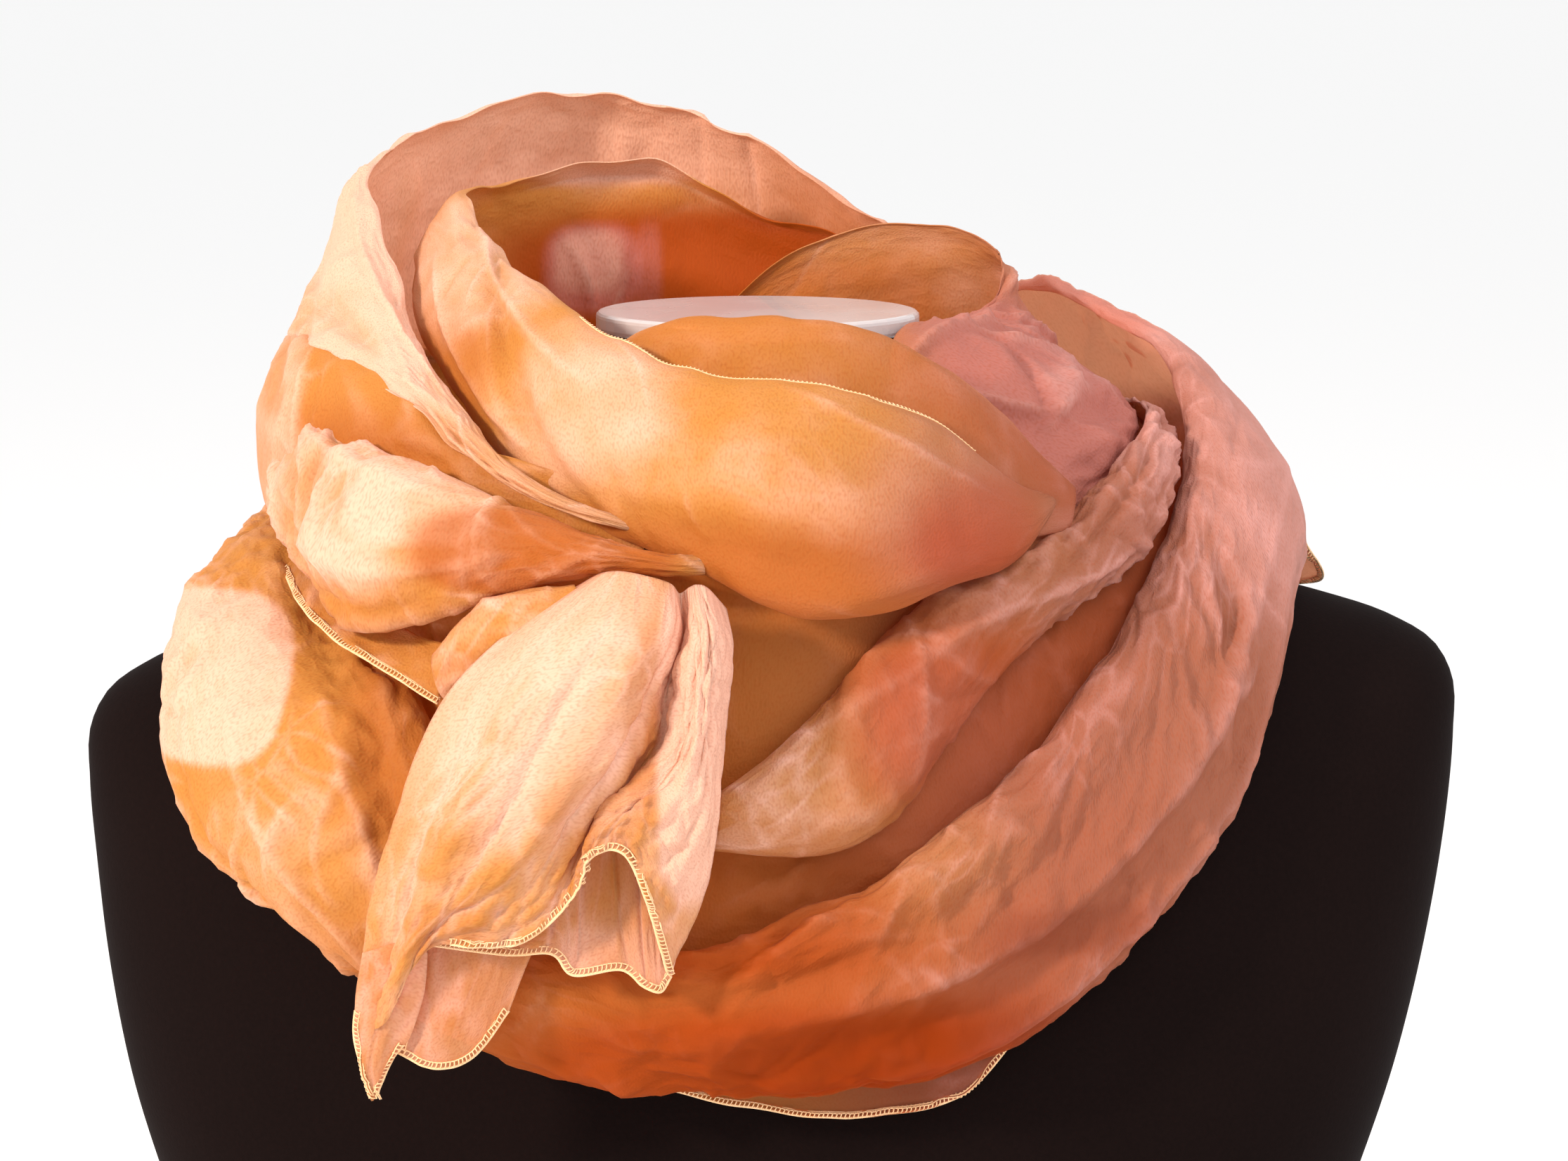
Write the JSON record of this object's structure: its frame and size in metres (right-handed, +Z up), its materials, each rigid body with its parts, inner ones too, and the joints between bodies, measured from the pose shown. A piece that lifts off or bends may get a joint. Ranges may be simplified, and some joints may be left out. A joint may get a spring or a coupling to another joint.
{
  "type": "organza scarf on bust form",
  "caption": "Sheer crinkled scarf wound loosely round the neck of a limbless countertop bust form, one free end hanging in front.",
  "frame": {"origin": "centre of the bust form's flat base", "axes": "+Z up, the front faces -Y, +X to the viewer's right"},
  "size_m": [0.418, 0.3041, 0.4606],
  "materials": {
    "organza_peach": "sheer crinkled silk organza, peach orange",
    "organza_cream": "sheer crinkled silk organza, light cream orange",
    "organza_rose": "sheer crinkled silk organza, dusty rose",
    "organza_deep_orange": "sheer silk organza in deep shade, burnt orange",
    "form_jersey": "black jersey cover, matt",
    "form_cap": "white gloss plastic"
  },
  "bodies": {
    "root": {"form_body": "form_jersey", "neck_cap": "form_cap", "outer_loop_left": "organza_peach", "back_collar": "organza_peach", "right_back_hump": "organza_peach", "left_pocket": "organza_peach", "cowl_flap": "organza_peach", "tail_lining": "organza_peach", "left_swag": "organza_cream", "left_upper_fold": "organza_cream", "front_cowl": "organza_cream", "left_hem_strip": "organza_cream", "tail_knot": "organza_cream", "tail_left": "organza_cream", "tail_right": "organza_cream", "inner_collar": "organza_deep_orange", "right_cavity": "organza_deep_orange", "centre_panel": "organza_deep_orange", "outer_loop_front": "organza_rose", "outer_loop_right": "organza_rose", "outer_loop_back": "organza_rose", "right_strand": "organza_rose", "back_lower_band": "organza_rose", "right_crumple": "organza_rose", "lower_hem_flap": "organza_rose", "corner_tip": "organza_rose"}
  },
  "joints": []
}
